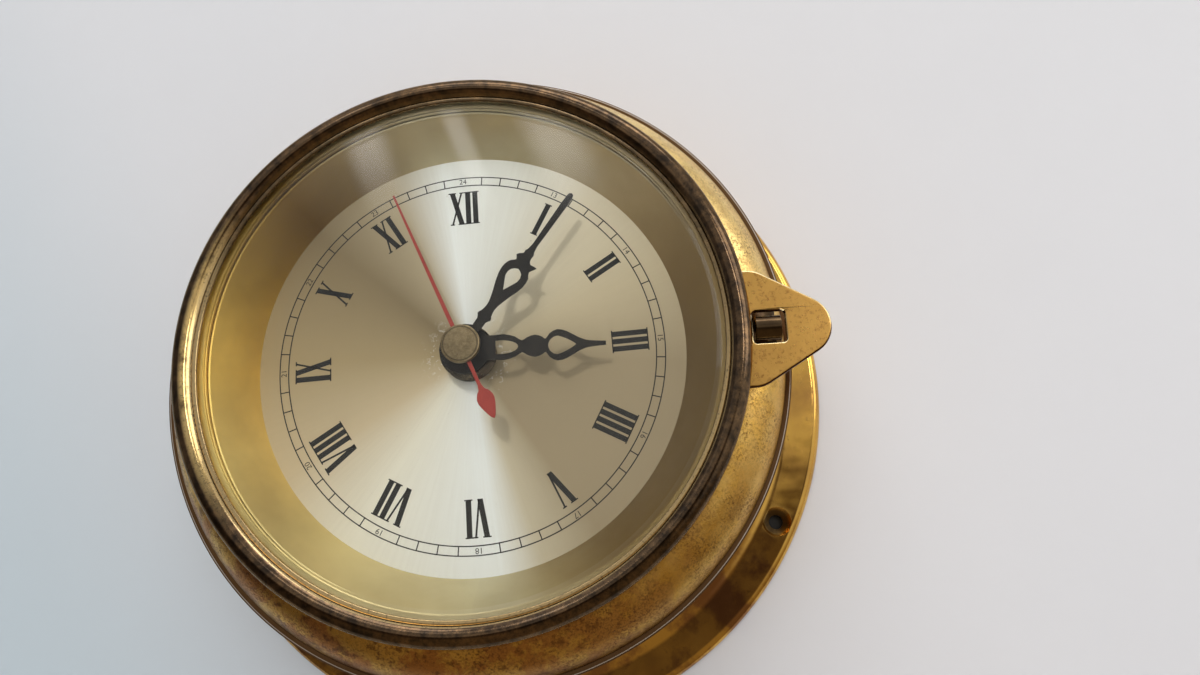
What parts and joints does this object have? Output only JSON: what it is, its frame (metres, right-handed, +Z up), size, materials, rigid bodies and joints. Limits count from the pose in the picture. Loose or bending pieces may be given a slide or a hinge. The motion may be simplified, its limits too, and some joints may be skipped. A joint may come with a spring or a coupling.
{
  "type": "ships deck clock",
  "caption": "Round brass wall clock with a flanged drum, a hinged glass door with a snap latch, a brushed dial and a battery quartz movement.",
  "frame": {"origin": "centre of the wall plane, on the dial's axis, at the flat back face", "axes": "+Y from the dial into the wall, +Z up (towards XII), +X to the right (towards III) for a viewer facing the dial, who stands at -Y"},
  "size_m": [0.15, 0.0573, 0.15],
  "materials": {
    "polished_brass": "polished, mirror-like",
    "aged_brass": "aged, speckled",
    "bronze": "dark bronze patina, semi-gloss",
    "satin_gold": "satin lacquered",
    "silver_dial": "sunray brushed, champagne",
    "clear_glass": "clear, bevelled edge",
    "black_paint": "satin black",
    "red_paint": "satin red",
    "cap_brass": "brushed",
    "dark_bronze": "dark, oiled",
    "rubber_black": "matte",
    "movement_plastic": "moulded",
    "cover_plastic": "moulded",
    "gear_plastic": "natural acetal",
    "steel": "turned",
    "spring_steel": "stamped",
    "copper_wire": "wound wire",
    "board_green": "solder mask",
    "battery_skin": "printed sleeve"
  },
  "bodies": {
    "root": {"back_shell": "polished_brass", "front_shell": "aged_brass", "back_cover": "cover_plastic", "dial_plate": "silver_dial", "inner_ring": "satin_gold", "catch_spring": "dark_bronze", "catch_rivet_upper": "aged_brass", "catch_rivet_lower": "aged_brass", "hinge_case_leaf": "aged_brass", "hinge_pin": "steel", "centre_nut": "dark_bronze", "centre_bush": "aged_brass", "rubber_washer": "rubber_black", "movement_front_housing": "movement_plastic", "movement_rear_housing": "movement_plastic", "train_plate": "gear_plastic", "stator": "spring_steel", "coil": "copper_wire", "circuit_board": "board_green", "quartz_crystal": "steel", "battery": "battery_skin", "battery_contact_positive": "spring_steel", "battery_contact_negative": "spring_steel"},
    "door": {"bezel_ring": "bronze", "glass": "clear_glass", "glass_gasket": "rubber_black", "glass_retaining_ring": "satin_gold", "latch_tab": "satin_gold", "hinge_door_leaf": "aged_brass"},
    "seconds_arbor": {"seconds_wheel": "steel", "second_hand": "red_paint", "second_hand_cap": "cap_brass"},
    "minute_pipe": {"cannon_pinion": "gear_plastic", "minute_hand": "black_paint"},
    "hour_pipe": {"hour_wheel": "gear_plastic", "hour_hand": "black_paint"},
    "centre_wheel_body": {"centre_wheel": "gear_plastic"},
    "third_wheel_body": {"third_wheel": "gear_plastic"},
    "intermediate_wheel_body": {"intermediate_wheel": "gear_plastic"},
    "rotor_body": {"rotor": "steel"},
    "motion_wheel_body": {"motion_wheel": "gear_plastic"},
    "setting_knob_body": {"setting_knob": "movement_plastic"}
  },
  "joints": [
    {"name": "door_hinge", "type": "hinge", "parent": "root", "child": "door", "pos_m": [-0.0553, -0.0483, 0], "axis": [0, 0, -1], "range_deg": [0, 110]},
    {"name": "second_hand_turn", "type": "hinge", "parent": "root", "child": "seconds_arbor", "pos_m": [0, -0.055, 0], "axis": [0, 1, 0], "continuous": true},
    {"name": "minute_hand_turn", "type": "hinge", "parent": "root", "child": "minute_pipe", "pos_m": [0, -0.055, 0], "axis": [0, 1, 0], "continuous": true},
    {"name": "hour_hand_turn", "type": "hinge", "parent": "root", "child": "hour_pipe", "pos_m": [0, -0.055, 0], "axis": [0, 1, 0], "continuous": true},
    {"name": "motion_wheel_turn", "type": "hinge", "parent": "root", "child": "motion_wheel_body", "pos_m": [0, -0.055, 0.008], "axis": [0, 1, 0], "continuous": true},
    {"name": "setting_knob_turn", "type": "hinge", "parent": "root", "child": "setting_knob_body", "pos_m": [0, -0.055, 0.017], "axis": [0, 1, 0], "continuous": true},
    {"name": "centre_wheel_turn", "type": "hinge", "parent": "root", "child": "centre_wheel_body", "pos_m": [0, -0.055, 0], "axis": [0, 1, 0], "continuous": true},
    {"name": "third_wheel_turn", "type": "hinge", "parent": "root", "child": "third_wheel_body", "pos_m": [-0.009, -0.055, 0], "axis": [0, 1, 0], "continuous": true},
    {"name": "intermediate_wheel_turn", "type": "hinge", "parent": "root", "child": "intermediate_wheel_body", "pos_m": [0.007, -0.055, 0], "axis": [0, 1, 0], "continuous": true},
    {"name": "rotor_turn", "type": "hinge", "parent": "root", "child": "rotor_body", "pos_m": [0.01228, -0.055, 0], "axis": [0, 1, 0], "continuous": true}
  ],
  "couplings": [
    {"joint": "hour_hand_turn", "follows": "minute_hand_turn", "ratio": 0.083333},
    {"joint": "motion_wheel_turn", "follows": "minute_hand_turn", "ratio": -0.33333},
    {"joint": "setting_knob_turn", "follows": "minute_hand_turn", "ratio": 0.66667},
    {"joint": "centre_wheel_turn", "follows": "second_hand_turn", "ratio": 0.016667},
    {"joint": "third_wheel_turn", "follows": "second_hand_turn", "ratio": -0.13333},
    {"joint": "intermediate_wheel_turn", "follows": "second_hand_turn", "ratio": -6},
    {"joint": "rotor_turn", "follows": "second_hand_turn", "ratio": 30}
  ]
}
